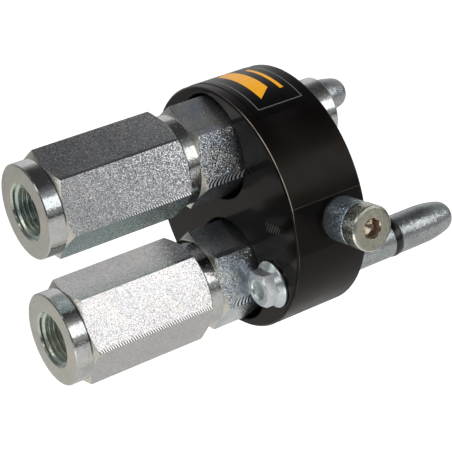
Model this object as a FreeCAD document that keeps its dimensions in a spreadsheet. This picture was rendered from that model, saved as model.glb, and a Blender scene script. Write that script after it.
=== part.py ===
import FreeCAD, Part
import math
import os
import re
import Sketcher

# Hydraulic multi-coupling, the half that travels with the hoses, for two lines. All sizes are millimetres.
# The origin is the centre of the block's mating face. +X is the direction in which the half is pushed home,
# and +Z runs from the lower line to the upper line. Each line is a port body screwed into a probe body,
# which holds a flat spring-loaded valve. Two guide pins lead the halves together, and a cam roller on each
# side takes the curved track of the locking lever on the other half.

DIMENSIONS = {
    # Block
    "block_radius": 48.75,
    "block_thickness": 32.4,
    "block_chamfer": 0.8,
    "flat_depth": 0.9,
    "line_spacing": 50.6,
    "recess_radius": 21.0,
    "recess_depth": 8.0,
    "recess_chamfer": 0.4,
    "clip_pocket_radius": 18.8,
    "clip_pocket_depth": 4.0,
    # Radial gaps: of what is seated or runs in a bore, and of what only passes through
    "fit_gap": 0.05,
    "pass_gap": 0.2,
    # Port body: spanner hexagon, collar, threaded port and spigot
    "joint_standoff": 21.7,
    "port_hex": 36.0,
    "port_hex_length": 52.6,
    "port_turn_upper": 7.6,
    "port_turn_lower": 21.4,
    "collar_radius": 18.1,
    "collar_length": 6.8,
    "collar_chamfer": 0.4,
    "port_radius": 10.5,
    "port_depth": 18.0,
    "port_mouth_radius": 11.1,
    "passage_radius": 8.0,
    "spigot_radius": 13.4,
    "spigot_length": 13.1,
    "spigot_chamfer": 1.0,
    "joint_seal_section": 2.0,
    "joint_seal_setback": 1.6,
    # Probe body: neck, spanner hexagon, shank in the block and barrel
    "neck_radius": 17.6,
    "neck_length": 5.0,
    "neck_chamfer": 0.35,
    "probe_hex": 35.0,
    "probe_turn_upper": 4.9,
    "probe_turn_lower": 10.3,
    "shank_radius": 15.0,
    "shank_seal_section": 2.0,
    "shank_seal_setback": 9.0,
    "barrel_radius": 13.4,
    "barrel_reach": 18.6,
    "barrel_chamfer": 1.0,
    "chamber_radius": 11.0,
    # Retaining clip of the shank
    "clip_thickness": 1.5,
    "clip_inner_radius": 14.2,
    "clip_width": 3.4,
    "clip_lug_radius": 1.9,
    "clip_eye_radius": 0.9,
    "clip_mouth": 4.4,
    # Valve
    "valve_bore_radius": 8.4,
    "valve_land": 4.0,
    "valve_sink": 0.1,
    "valve_travel": 8.0,
    "valve_stop_gap": 0.2,
    "poppet_flange_radius": 9.8,
    "poppet_flange_width": 1.6,
    "poppet_boss_radius": 5.4,
    "poppet_boss_length": 4.0,
    "poppet_seal_section": 1.8,
    "poppet_dish_radius": 2.4,
    "stem_radius": 3.0,
    "stem_tail": 3.0,
    "guide_thickness": 4.0,
    "guide_hub_radius": 5.4,
    "guide_slot_inner_radius": 8.2,
    "guide_slot_outer_radius": 10.8,
    "guide_slot_half_angle": 42.0,
    "guide_slot_count": 3,
    "spring_wire": 1.6,
    "spring_gap": 0.3,
    "spring_turns": 5.5,
    # Guide pins, each at its angle from the line of the rollers, and their bolts
    "pin_radius": 7.75,
    "pin_seat_depth": 8.0,
    "pin_nose_start": 38.0,
    "pin_nose_run": 12.0,
    "pin_nose_curve": 47.2,
    "pin_tip_radius": 5.5,
    "pin_reach": 53.9,
    "pin_groove_start": 21.6,
    "pin_groove_width": 3.5,
    "pin_seal_section": 3.1,
    "pin_seal_crest": 0.3,
    "pin_tap_depth": 17.0,
    "pin_circle_inset": 11.35,
    "pin_lower_angle": 40.9,
    "pin_upper_angle": 29.65,
    "bolt_radius": 4.0,
    "bolt_length": 35.0,
    "bolt_chamfer": 0.8,
    "bolt_hex": 13.0,
    "bolt_head_height": 7.4,
    "bolt_flange_radius": 9.3,
    "bolt_flange_edge": 1.3,
    "bolt_flange_crown": 3.0,
    "bolt_crown_radius": 6.6,
    "bolt_dish_radius": 4.2,
    "bolt_dish_depth": 0.5,
    "bolt_turn": 26.0,
    # Cam rollers, their shoulder screws and washers
    "roller_setback": 11.9,
    "roller_radius": 8.5,
    "roller_length": 11.2,
    "roller_chamfer": 0.4,
    "roller_end_gap": 0.15,
    "shoulder_radius": 6.0,
    "washer_thickness": 1.0,
    "screw_head_radius": 8.7,
    "screw_head_height": 7.2,
    "screw_head_chamfer": 0.5,
    "screw_thread_radius": 5.0,
    "screw_thread_length": 16.0,
    "screw_relief": 0.6,
    "socket_width": 7.0,
    "socket_depth": 4.6,
    # Identification label on the block's crown
    "label_start": 4.4,
    "label_width": 23.6,
    "label_angle": 70.6,
    "label_thickness": 0.15,
    "label_gap": 0.02,
}

doc = FreeCAD.newDocument("multi_coupling")
sheet = doc.addObject("Spreadsheet::Sheet", "Dims")
for row, (name, value) in enumerate(DIMENSIONS.items(), start=1):
    sheet.set(f"A{row}", name)
    sheet.set(f"B{row}", str(value))
    sheet.setAlias(f"B{row}", name)
doc.recompute()


def bound(text):
    """Turn words of the sheet inside a formula into references to its cells."""
    return re.sub(r"[a-z_]+", lambda word: f"Dims.{word[0]}" if word[0] in DIMENSIONS else word[0], text)


def size(text):
    """The present value of a formula."""
    value = sheet.evalExpression(bound(text))
    return float(getattr(value, "Value", value))


# Places as formulas, most of them along the mating axis
FRONT = "(-block_thickness)"
FLAT = "(block_radius - flat_depth)"
PIN_CIRCLE = "(block_radius - pin_circle_inset)"
PIN_PLACES = {
    "lower": (f"(-{PIN_CIRCLE} * cos(pin_lower_angle * 1 deg))", f"(-{PIN_CIRCLE} * sin(pin_lower_angle * 1 deg))"),
    "upper": (f"({PIN_CIRCLE} * cos(pin_upper_angle * 1 deg))", f"({PIN_CIRCLE} * sin(pin_upper_angle * 1 deg))"),
}
RECESS_FLOOR = f"({FRONT} + recess_depth)"
JOINT = f"({FRONT} - joint_standoff)"
PORT_SHOULDER = f"({JOINT} - port_hex_length)"
PORT_END = f"({PORT_SHOULDER} - collar_length)"
PORT_FLOOR = f"({PORT_END} + port_depth)"
SPIGOT_END = f"({JOINT} + spigot_length)"
GUIDE_FRONT = f"({SPIGOT_END} + guide_thickness)"
NECK_END = f"({JOINT} + neck_length)"
CLIP_BACK = "(-clip_pocket_depth)"
CLIP_FRONT = f"({CLIP_BACK} + clip_thickness)"
VALVE_FACE = "(barrel_reach - valve_sink)"
VALVE_SEAT = "(barrel_reach - valve_land)"
CHAMBER_END = f"({VALVE_SEAT} - chamber_radius + valve_bore_radius)"
POPPET_RADIUS = "(valve_bore_radius - fit_gap)"
FLANGE_FRONT = f"({VALVE_SEAT} - poppet_flange_radius + {POPPET_RADIUS})"
FLANGE_BACK = f"({FLANGE_FRONT} - poppet_flange_width)"
BOSS_END = f"({FLANGE_BACK} - poppet_boss_length)"
HUB_END = f"({BOSS_END} - poppet_boss_radius + stem_radius - valve_travel - valve_stop_gap)"
STEM_END = f"({SPIGOT_END} - stem_tail)"
UPPER_LINE = "line_spacing / 2"
LOWER_LINE = "-line_spacing / 2"


def new_body(label):
    """An empty body with the label of its sub-part."""
    body = doc.addObject("PartDesign::Body", label)
    body.Label = label
    return body


def new_sketch(body, plane, offset):
    """A sketch on one of the body's own origin planes, moved along the plane's normal by a formula."""
    sketch = body.newObject("Sketcher::SketchObject", f"{body.Name}_sketch")
    support = next(item for item in body.Origin.OriginFeatures if item.Role == plane)
    sketch.AttachmentSupport = [(support, "")]
    sketch.MapMode = "FlatFace"
    if offset:
        sketch.setExpression("AttachmentOffset.Base.z", bound(offset))
    return sketch


def bind(sketch, constraint, formula):
    """Add a dimension to the sketch and bind it to its formula."""
    index = sketch.addConstraint(constraint)
    sketch.setExpression(f"Constraints[{index}]", bound(formula))


def place_point(sketch, edge, end, across, along):
    """Bind both coordinates of a point of the sketch."""
    bind(sketch, Sketcher.Constraint("DistanceX", -1, 1, edge, end, size(across)), across)
    bind(sketch, Sketcher.Constraint("DistanceY", -1, 1, edge, end, size(along)), along)


def arc_between(start, end, radius, side):
    """The arc from start to end whose centre lies left (+1) or right (-1) of the way."""
    chord = end - start
    left = FreeCAD.Vector(-chord.y, chord.x, 0).normalize()
    rise = math.sqrt(radius ** 2 - (chord.Length / 2) ** 2)
    centre = (start + end) / 2 + left * rise * side
    first, last = (start, end) if side > 0 else (end, start)
    circle = Part.Circle(centre, FreeCAD.Vector(0, 0, 1), radius)
    angles = [math.atan2(point.y - centre.y, point.x - centre.x) for point in (first, last)]
    return Part.ArcOfCircle(circle, angles[0], angles[1])


def outline(body, plane, corners, offset=None):
    """A closed sketch through the corners.

    Each corner is a pair of formulas. A third and fourth entry make the way to the next corner an arc
    of that radius, with its centre to the left (+1) or right (-1).
    """
    sketch = new_sketch(body, plane, offset)
    spots = [FreeCAD.Vector(size(corner[0]), size(corner[1]), 0) for corner in corners]
    ends = []
    for index, corner in enumerate(corners):
        start, end = spots[index], spots[(index + 1) % len(spots)]
        if len(corner) == 2:
            edge = sketch.addGeometry(Part.LineSegment(start, end), False)
            ends.append((edge, 1, 2))
        else:
            edge = sketch.addGeometry(arc_between(start, end, size(corner[2]), corner[3]), False)
            ends.append((edge, 1, 2) if corner[3] > 0 else (edge, 2, 1))
    for (edge, _, last), (following, first, _) in zip(ends, ends[1:] + ends[:1]):
        sketch.addConstraint(Sketcher.Constraint("Coincident", edge, last, following, first))
    for corner, (edge, first, _) in zip(corners, ends):
        place_point(sketch, edge, first, corner[0], corner[1])
        if len(corner) > 2:
            bind(sketch, Sketcher.Constraint("Radius", edge, size(corner[2])), corner[2])
    return sketch


def circles(body, plane, rounds, offset=None):
    """A sketch of circles, each given by formulas for its centre and radius."""
    sketch = new_sketch(body, plane, offset)
    for across, along, radius in rounds:
        circle = Part.Circle(FreeCAD.Vector(size(across), size(along), 0), FreeCAD.Vector(0, 0, 1), size(radius))
        edge = sketch.addGeometry(circle, False)
        place_point(sketch, edge, 3, across, along)
        bind(sketch, Sketcher.Constraint("Radius", edge, size(radius)), radius)
    return sketch


def hexagon(body, width, offset=None):
    """A hexagon across the mating axis, with a corner up and a given width across its flats."""
    half, corner = f"{width} / 2", f"{width} / sqrt(3)"
    return outline(body, "YZ_Plane", [
        ("0", corner), (half, f"{corner} / 2"), (half, f"-{corner} / 2"),
        ("0", f"-{corner}"), (f"-{half}", f"-{corner} / 2"), (f"-{half}", f"{corner} / 2"),
    ], offset)


def volume(body):
    """The body's present volume, nothing before its first feature."""
    doc.recompute()
    return 0.0 if body.Shape.isNull() else body.Shape.Volume


def add_feature(body, kind, sketch, length=None, reverse=False):
    """Add a feature and make sure that it adds or takes away material."""
    before = volume(body)
    feature = body.newObject(f"PartDesign::{kind}", f"{body.Name}_{kind.lower()}")
    feature.Profile = sketch
    if kind in ("Revolution", "Groove"):
        feature.ReferenceAxis = (sketch, ["H_Axis"])
        feature.Angle = 360
    else:
        feature.setExpression("Length", bound(length))
        feature.Reversed = reverse
    change = volume(body) - before
    if (kind in ("Pocket", "Groove")) != (change < 0):
        raise RuntimeError(f"{feature.Name} changes the volume by {change}")
    return feature


def revolve(body, corners):
    """Add a solid of revolution about the mating axis from corners of distance and radius."""
    return add_feature(body, "Revolution", outline(body, "XY_Plane", corners))


def turn_away(body, corners):
    """Cut a groove, bore or end chamfer about the mating axis."""
    return add_feature(body, "Groove", outline(body, "XY_Plane", corners))


def chamfer_edges(body, width, wanted):
    """Chamfer the edges of the body's last feature that pass the test."""
    doc.recompute()
    last = body.Tip
    edges = [f"Edge{number}" for number, edge in enumerate(last.Shape.Edges, start=1) if wanted(edge)]
    chamfer = body.newObject("PartDesign::Chamfer", f"{body.Name}_chamfer")
    chamfer.Base = (last, edges)
    chamfer.setExpression("Size", bound(width))


def is_circle(edge, radius, along):
    """Whether the edge is a circle of that radius about the mating direction, at that place along it."""
    curve = edge.Curve
    return (isinstance(curve, Part.Circle) and abs(curve.Radius - size(radius)) < 1e-6
            and abs(abs(curve.Axis.x) - 1) < 1e-6 and abs(curve.Center.x - size(along)) < 1e-6)


def move(item, x="0", y="0", z="0", axis=(1, 0, 0), angle="0"):
    """Place a sub-part by formulas: turned about an axis through the origin, then moved."""
    item.Placement = FreeCAD.Placement(FreeCAD.Vector(), FreeCAD.Rotation(FreeCAD.Vector(*axis), 1))
    item.setExpression("Placement.Rotation.Angle", bound(angle))
    for direction, formula in zip("xyz", (x, y, z)):
        item.setExpression(f"Placement.Base.{direction}", bound(formula))


def group(label, members):
    """One sub-part of identical fasteners, each a solid of its own."""
    compound = doc.addObject("Part::Compound", label)
    compound.Label = label
    compound.Links = members
    return compound


def coupling_block():
    """Round block with a recess, a bore and a clip pocket for each line, pin seats and tapped holes."""
    body = new_body("coupling_block")
    chamfer_foot = "block_radius - block_chamfer"
    revolve(body, [
        (FRONT, "0"), (FRONT, chamfer_foot), (f"{FRONT} + block_chamfer", "block_radius"),
        ("-block_chamfer", "block_radius"), ("0", chamfer_foot), ("0", "0"),
    ])
    # Side flats under the rollers
    outside = "block_radius + block_chamfer"
    half_flat = f"sqrt(block_radius ^ 2 - {FLAT} ^ 2) + block_chamfer"
    for side in ("", "-"):
        near, far = f"{side}{FLAT}", f"{side}({outside})"
        flat = outline(body, "YZ_Plane", [
            (near, half_flat), (far, half_flat), (far, f"-({half_flat})"), (near, f"-({half_flat})"),
        ])
        add_feature(body, "Pocket", flat, "block_thickness")
    # Recess for the hexagons, from the port side
    recesses = [("0", UPPER_LINE, "recess_radius"), ("0", LOWER_LINE, "recess_radius")]
    add_feature(body, "Pocket", circles(body, "YZ_Plane", recesses, FRONT), "recess_depth", reverse=True)
    # Pockets for the retaining clips, from the mating side
    pockets = [("0", line, "clip_pocket_radius") for line in (UPPER_LINE, LOWER_LINE)]
    add_feature(body, "Pocket", circles(body, "YZ_Plane", pockets), "clip_pocket_depth")
    # Bores of the shanks
    bores = [("0", line, "shank_radius + fit_gap") for line in (UPPER_LINE, LOWER_LINE)]
    add_feature(body, "Pocket", circles(body, "YZ_Plane", bores), "block_thickness")
    # Seats of the guide pins and clearance holes of their bolts
    seats = [(y, z, "pin_radius + fit_gap") for y, z in PIN_PLACES.values()]
    add_feature(body, "Pocket", circles(body, "YZ_Plane", seats), "pin_seat_depth")
    holes = [(y, z, "bolt_radius + pass_gap") for y, z in PIN_PLACES.values()]
    add_feature(body, "Pocket", circles(body, "YZ_Plane", holes), "block_thickness")
    # Tapped holes of the roller screws, from the inside out through each flat
    depth = f"({FLAT} - screw_thread_length - screw_relief)"
    for offset, reverse in ((depth, True), (f"-{depth}", False)):
        hole = circles(body, "XZ_Plane", [("-roller_setback", "0", "screw_thread_radius + fit_gap")], offset)
        add_feature(body, "Pocket", hole, "screw_thread_length + 2 * screw_relief", reverse)
    chamfer_edges(body, "recess_chamfer", lambda edge: is_circle(edge, "recess_radius", FRONT))
    chamfer_edges(body, "recess_chamfer", lambda edge: is_circle(edge, "clip_pocket_radius", "0"))
    return body


def hex_ends(body, width, foot, start, end, both=True):
    """Turn the corners of a hexagon down at 30 degrees to the foot radius, at its ends."""
    crest = f"({width} / sqrt(3) + 1)"
    rise = f"(({crest} - {foot}) / sqrt(3))"
    turn_away(body, [(start, foot), (f"{start} + {rise}", crest), (start, crest)])
    if both:
        turn_away(body, [(end, foot), (end, crest), (f"{end} - {rise}", crest)])


def port_body(label, line, turn):
    """Hexagon body with the threaded port at one end and the spigot at the other."""
    body = new_body(label)
    add_feature(body, "Pad", hexagon(body, "port_hex", PORT_SHOULDER), "port_hex_length")
    hex_ends(body, "port_hex", "(port_hex / 2 - neck_chamfer)", PORT_SHOULDER, JOINT)
    # Collar with a broken outer edge
    revolve(body, [
        (PORT_END, "0"), (PORT_END, "collar_radius - collar_chamfer"),
        (f"{PORT_END} + collar_chamfer", "collar_radius"), (PORT_SHOULDER, "collar_radius"),
        (f"{PORT_SHOULDER} + collar_chamfer", "collar_radius - collar_chamfer"),
        (f"{PORT_SHOULDER} + collar_chamfer", "0"),
    ])
    # Spigot with its seal groove
    seal_start = f"({JOINT} + joint_seal_setback)"
    seal_end = f"({seal_start} + joint_seal_section + 2 * fit_gap)"
    groove_floor = "(spigot_radius - joint_seal_section)"
    revolve(body, [
        (f"{JOINT} - 1", "0"), (f"{JOINT} - 1", "spigot_radius"), (seal_start, "spigot_radius"),
        (seal_start, groove_floor), (seal_end, groove_floor), (seal_end, "spigot_radius"),
        (f"{SPIGOT_END} - spigot_chamfer", "spigot_radius"),
        (SPIGOT_END, "spigot_radius - spigot_chamfer"), (SPIGOT_END, "0"),
    ])
    # Port with its chamfered mouth and drilled floor, then the passage to the spigot's end
    turn_away(body, [
        (PORT_END, "0"), (PORT_END, "port_mouth_radius"),
        (f"{PORT_END} + port_mouth_radius - port_radius", "port_radius"), (PORT_FLOOR, "port_radius"),
        (f"{PORT_FLOOR} + (port_radius - passage_radius) / sqrt(3)", "passage_radius"),
        (SPIGOT_END, "passage_radius"), (SPIGOT_END, "0"),
    ])
    move(body, z=line, angle=f"-{turn}")
    return body


def probe_body(label, line, turn):
    """Neck, hexagon, shank and barrel in one turned piece, with the valve chamber inside."""
    body = new_body(label)
    add_feature(body, "Pad", hexagon(body, "probe_hex", NECK_END), f"{RECESS_FLOOR} - {NECK_END}")
    hex_ends(body, "probe_hex", "(probe_hex / 2 - neck_chamfer)", NECK_END, RECESS_FLOOR)
    revolve(body, [
        (JOINT, "0"), (JOINT, "neck_radius - neck_chamfer"), (f"{JOINT} + neck_chamfer", "neck_radius"),
        (NECK_END, "neck_radius"), (f"{NECK_END} + neck_chamfer", "neck_radius - neck_chamfer"),
        (f"{NECK_END} + neck_chamfer", "0"),
    ])
    # Shank with a seal groove and the clip's groove, then the barrel
    seal_start = f"({RECESS_FLOOR} + shank_seal_setback)"
    seal_end = f"({seal_start} + shank_seal_section + 2 * fit_gap)"
    seal_floor = "(shank_radius - shank_seal_section)"
    clip_floor = "(clip_inner_radius - fit_gap)"
    clip_end = f"({CLIP_FRONT} + fit_gap)"
    revolve(body, [
        (f"{RECESS_FLOOR} - 1", "0"), (f"{RECESS_FLOOR} - 1", "shank_radius"), (seal_start, "shank_radius"),
        (seal_start, seal_floor), (seal_end, seal_floor), (seal_end, "shank_radius"),
        (CLIP_BACK, "shank_radius"), (CLIP_BACK, clip_floor), (clip_end, clip_floor),
        (clip_end, "shank_radius"), ("-barrel_chamfer", "shank_radius"),
        ("shank_radius - barrel_radius - barrel_chamfer", "barrel_radius"),
        ("barrel_reach - barrel_chamfer", "barrel_radius"),
        ("barrel_reach", "barrel_radius - barrel_chamfer"), ("barrel_reach", "0"),
    ])
    # Inside: spigot bore, valve chamber, conical seat and valve opening
    bore = "(spigot_radius + fit_gap)"
    turn_away(body, [
        (JOINT, "0"), (JOINT, f"{bore} + fit_gap"), (f"{JOINT} + fit_gap", bore), (GUIDE_FRONT, bore),
        (GUIDE_FRONT, "chamber_radius"), (CHAMBER_END, "chamber_radius"), (VALVE_SEAT, "valve_bore_radius"),
        ("barrel_reach", "valve_bore_radius"), ("barrel_reach", "0"),
    ])
    move(body, z=line, angle=f"-{turn}")
    return body


def ring_seal(label, line, start, section, crest):
    """Square-cut seal ring of a line, given by where it starts, its section and its outer radius."""
    body = new_body(label)
    end, floor = f"({start} + {section})", f"({crest} - {section})"
    revolve(body, [(start, floor), (start, crest), (end, crest), (end, floor)])
    move(body, z=line)
    return body


def guide_pin_seal(label, y, z):
    """Seal ring with a crowned outside, seated in the groove of a guide pin."""
    body = new_body(label)
    start = "(pin_groove_start + fit_gap)"
    end = "(pin_groove_start + pin_groove_width - fit_gap)"
    floor = "(pin_radius - pin_seal_section + fit_gap)"
    crown = "((pin_groove_width / 2 - fit_gap) ^ 2 / (2 * pin_seal_crest) + pin_seal_crest / 2)"
    revolve(body, [(start, floor), (start, "pin_radius", crown, -1), (end, "pin_radius"), (end, floor)])
    move(body, y=y, z=z)
    return body


def retaining_clip(label, line):
    """External clip with two eyed lugs beside its mouth."""
    body = new_body(label)
    lug_height = "(clip_inner_radius + clip_width / 2 + fit_gap)"
    lug_side = "(clip_mouth / 2)"
    outer = [("0", "0", "clip_inner_radius + clip_width")]
    add_feature(body, "Pad", circles(body, "YZ_Plane", outer, CLIP_BACK), "clip_thickness")
    lugs = [(f"{side}{lug_side}", lug_height, "clip_lug_radius") for side in ("", "-")]
    for lug in lugs:
        add_feature(body, "Pad", circles(body, "YZ_Plane", [lug], CLIP_BACK), "clip_thickness")
    inner = [("0", "0", "clip_inner_radius")]
    add_feature(body, "Pocket", circles(body, "YZ_Plane", inner, CLIP_FRONT), "clip_thickness")
    half_gap = "(clip_mouth / 2 - clip_lug_radius / 2)"
    top = "(clip_inner_radius + 2 * clip_width)"
    mouth = outline(body, "YZ_Plane", [
        (half_gap, "0"), (half_gap, top), (f"-{half_gap}", top), (f"-{half_gap}", "0"),
    ], CLIP_FRONT)
    add_feature(body, "Pocket", mouth, "clip_thickness")
    eyes = [(f"{side}(clip_mouth / 2 + clip_lug_radius / 3)", lug_height, "clip_eye_radius") for side in ("", "-")]
    add_feature(body, "Pocket", circles(body, "YZ_Plane", eyes, CLIP_FRONT), "clip_thickness")
    move(body, z=line, angle="90")
    return body


def valve_guide(label, line):
    """Disc clamped between spigot and chamber, with a hub for the stem and slots for the oil."""
    body = new_body(label)
    rim = "(spigot_radius - fit_gap)"
    stem_bore = "(stem_radius + fit_gap)"
    revolve(body, [
        (SPIGOT_END, stem_bore), (SPIGOT_END, rim), (GUIDE_FRONT, rim), (GUIDE_FRONT, "guide_hub_radius"),
        (HUB_END, "guide_hub_radius"), (HUB_END, stem_bore),
    ])
    # One kidney-shaped slot, repeated about the axis
    across, up = "sin(guide_slot_half_angle * 1 deg)", "cos(guide_slot_half_angle * 1 deg)"
    inner, outer = "guide_slot_inner_radius", "guide_slot_outer_radius"
    slot = outline(body, "YZ_Plane", [
        (f"{inner} * {across}", f"{inner} * {up}"), (f"{outer} * {across}", f"{outer} * {up}", outer, 1),
        (f"-{outer} * {across}", f"{outer} * {up}"), (f"-{inner} * {across}", f"{inner} * {up}", inner, -1),
    ], GUIDE_FRONT)
    pocket = add_feature(body, "Pocket", slot, "guide_thickness")
    before = volume(body)
    pattern = body.newObject("PartDesign::PolarPattern", f"{body.Name}_pattern")
    pattern.Originals = [pocket]
    pattern.Axis = (slot, ["N_Axis"])
    pattern.Angle = 360
    pattern.setExpression("Occurrences", bound("guide_slot_count"))
    body.Tip = pattern
    if volume(body) >= before:
        raise RuntimeError(f"{pattern.Name} cuts nothing")
    move(body, z=line)
    return body


def valve_poppet(label, line):
    """Flat-faced valve with a dimple, a seal groove, a conical flange and a long guided stem."""
    body = new_body(label)
    seal_start = f"({VALVE_SEAT} + valve_land / 2 - poppet_seal_section / 2 - fit_gap)"
    seal_end = f"({seal_start} + poppet_seal_section + 2 * fit_gap)"
    seal_floor = f"({POPPET_RADIUS} - poppet_seal_section)"
    dish_depth = "(poppet_dish_radius / 4)"
    revolve(body, [
        (f"{VALVE_FACE} - {dish_depth}", "0"), (VALVE_FACE, "poppet_dish_radius"), (VALVE_FACE, POPPET_RADIUS),
        (seal_end, POPPET_RADIUS), (seal_end, seal_floor), (seal_start, seal_floor),
        (seal_start, POPPET_RADIUS), (f"{VALVE_SEAT} - fit_gap", POPPET_RADIUS),
        (f"{FLANGE_FRONT} - fit_gap", "poppet_flange_radius"), (FLANGE_BACK, "poppet_flange_radius"),
        (FLANGE_BACK, "poppet_boss_radius"), (BOSS_END, "poppet_boss_radius"),
        (f"{BOSS_END} - poppet_boss_radius + stem_radius", "stem_radius"), (STEM_END, "stem_radius"),
        (STEM_END, "0"),
    ])
    move(body, z=line)
    return body


def valve_spring(label, line):
    """Compression spring of square wire with ground ends, between the guide and the poppet's flange."""
    start, end = f"({GUIDE_FRONT} + fit_gap)", f"({FLANGE_BACK} - fit_gap)"
    length = f"({end} - {start})"
    coil_radius = "(guide_hub_radius + spring_gap + spring_wire / 2)"
    # The coil overruns both ends, which are then ground flat
    overrun = "spring_wire"
    helix = doc.addObject("Part::Helix", f"{label}_helix")
    helix.setExpression("Radius", bound(coil_radius))
    helix.setExpression("Height", bound(f"{length} + 2 * {overrun}"))
    helix.setExpression("Pitch", bound(f"{length} / spring_turns"))
    move(helix, z=f"-{overrun}")
    wire = doc.addObject("Part::Plane", f"{label}_wire")
    wire.setExpression("Length", bound("spring_wire"))
    wire.setExpression("Width", bound("spring_wire"))
    move(wire, x=f"{coil_radius} - spring_wire / 2", z=f"-{overrun} - spring_wire / 2", axis=(1, 0, 0), angle="90")
    doc.recompute()
    coil = doc.addObject("Part::Sweep", f"{label}_coil")
    coil.Sections = [wire]
    coil.Spine = (helix, ["Edge1"])
    coil.Solid = True
    coil.Frenet = True
    barrel = doc.addObject("Part::Cylinder", f"{label}_barrel")
    barrel.setExpression("Radius", bound(f"{coil_radius} + spring_wire"))
    barrel.setExpression("Height", bound(length))
    spring = doc.addObject("Part::Common", label)
    spring.Label = label
    spring.Base = coil
    spring.Tool = barrel
    move(spring, x=start, z=line, axis=(0, 1, 0), angle="90")
    return spring


def guide_pin(label, y, z):
    """Pin with a seal groove and a bullet nose, tapped at its seated end for the bolt."""
    body = new_body(label)
    nose_end = "(pin_nose_start + pin_nose_run)"
    nose_rise = "sqrt(pin_nose_curve ^ 2 - pin_nose_run ^ 2)"
    nose_radius = f"(pin_radius - pin_nose_curve + {nose_rise})"
    tip_centre = f"({nose_end} - pin_tip_radius * pin_nose_run / pin_nose_curve)"
    tip_height = f"({nose_radius} - pin_tip_radius * {nose_rise} / pin_nose_curve)"
    tip_flat = f"({tip_height} + sqrt(pin_tip_radius ^ 2 - (pin_reach - {tip_centre}) ^ 2))"
    groove_end = "(pin_groove_start + pin_groove_width)"
    groove_floor = "(pin_radius - pin_seal_section)"
    foot = "(-pin_seat_depth)"
    tap = "(bolt_radius + fit_gap)"
    tap_floor = f"({foot} + pin_tap_depth)"
    revolve(body, [
        (f"{tap_floor} + {tap} / sqrt(3)", "0"), (tap_floor, tap), (foot, tap),
        (foot, "pin_radius - bolt_chamfer"), (f"{foot} + bolt_chamfer", "pin_radius"),
        ("pin_groove_start", "pin_radius"), ("pin_groove_start", groove_floor), (groove_end, groove_floor),
        (groove_end, "pin_radius"), ("pin_nose_start", "pin_radius", "pin_nose_curve", -1),
        (nose_end, nose_radius, "pin_tip_radius", -1), ("pin_reach", tip_flat), ("pin_reach", "0"),
    ])
    move(body, y=y, z=z)
    return body


def flange_bolt(name, y, z):
    """Hexagon bolt with a flange forged on, from the port side into a guide pin."""
    body = new_body(name)
    head_top = f"({FRONT} - bolt_head_height)"
    crown = f"({FRONT} - bolt_flange_crown)"
    edge = f"({FRONT} - bolt_flange_edge)"
    edge_break = "(bolt_flange_edge / 4)"
    shank_end = f"({FRONT} + bolt_length)"
    hex_length = "(bolt_head_height - bolt_flange_edge)"
    add_feature(body, "Pad", hexagon(body, "bolt_hex", head_top), hex_length)
    hex_ends(body, "bolt_hex", "(bolt_hex / 2 - recess_chamfer)", head_top, FRONT, both=False)
    revolve(body, [
        (f"{head_top} + bolt_head_height / 2", "0"), (f"{head_top} + bolt_head_height / 2", "bolt_crown_radius"),
        (crown, "bolt_crown_radius"), (edge, f"bolt_flange_radius - {edge_break}"),
        (f"{edge} + {edge_break}", "bolt_flange_radius"), (f"{FRONT} - {edge_break}", "bolt_flange_radius"),
        (FRONT, f"bolt_flange_radius - {edge_break}"), (FRONT, "bolt_radius"),
        (f"{shank_end} - bolt_chamfer", "bolt_radius"), (shank_end, "bolt_radius - bolt_chamfer"),
        (shank_end, "0"),
    ])
    dish_foot = "(bolt_dish_radius - bolt_dish_depth)"
    turn_away(body, [
        (head_top, "0"), (head_top, "bolt_dish_radius"), (f"{head_top} + bolt_dish_depth", dish_foot),
        (f"{head_top} + bolt_dish_depth", "0"),
    ])
    move(body, y=y, z=z, angle="-bolt_turn")
    return body


def side_ways(item, side):
    """Turn a piece modelled along +X so that it points out of the block's left (+1) or right (-1) side."""
    angle = "90" if side > 0 else "-90"
    move(item, x="-roller_setback", axis=(0, 0, 1), angle=angle)
    return item


def cam_roller(label, side):
    """Hardened roller that turns on the shoulder of its screw."""
    body = new_body(label)
    start = f"({FLAT} + washer_thickness + roller_end_gap)"
    end = f"({start} + roller_length)"
    bore = "(shoulder_radius + fit_gap)"
    crest = "(roller_radius - roller_chamfer)"
    revolve(body, [
        (start, f"{bore} + roller_chamfer"), (start, crest), (f"{start} + roller_chamfer", "roller_radius"),
        (f"{end} - roller_chamfer", "roller_radius"), (end, crest), (end, f"{bore} + roller_chamfer"),
        (f"{end} - roller_chamfer", bore), (f"{start} + roller_chamfer", bore),
    ])
    return side_ways(body, side)


def roller_washer(name, side):
    """Thin washer that keeps the roller off the block."""
    body = new_body(name)
    bore = "(shoulder_radius + pass_gap)"
    end = f"({FLAT} + washer_thickness)"
    rim = "(roller_radius - roller_chamfer)"
    revolve(body, [(FLAT, bore), (FLAT, rim), (end, rim), (end, bore)])
    return side_ways(body, side)


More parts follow.
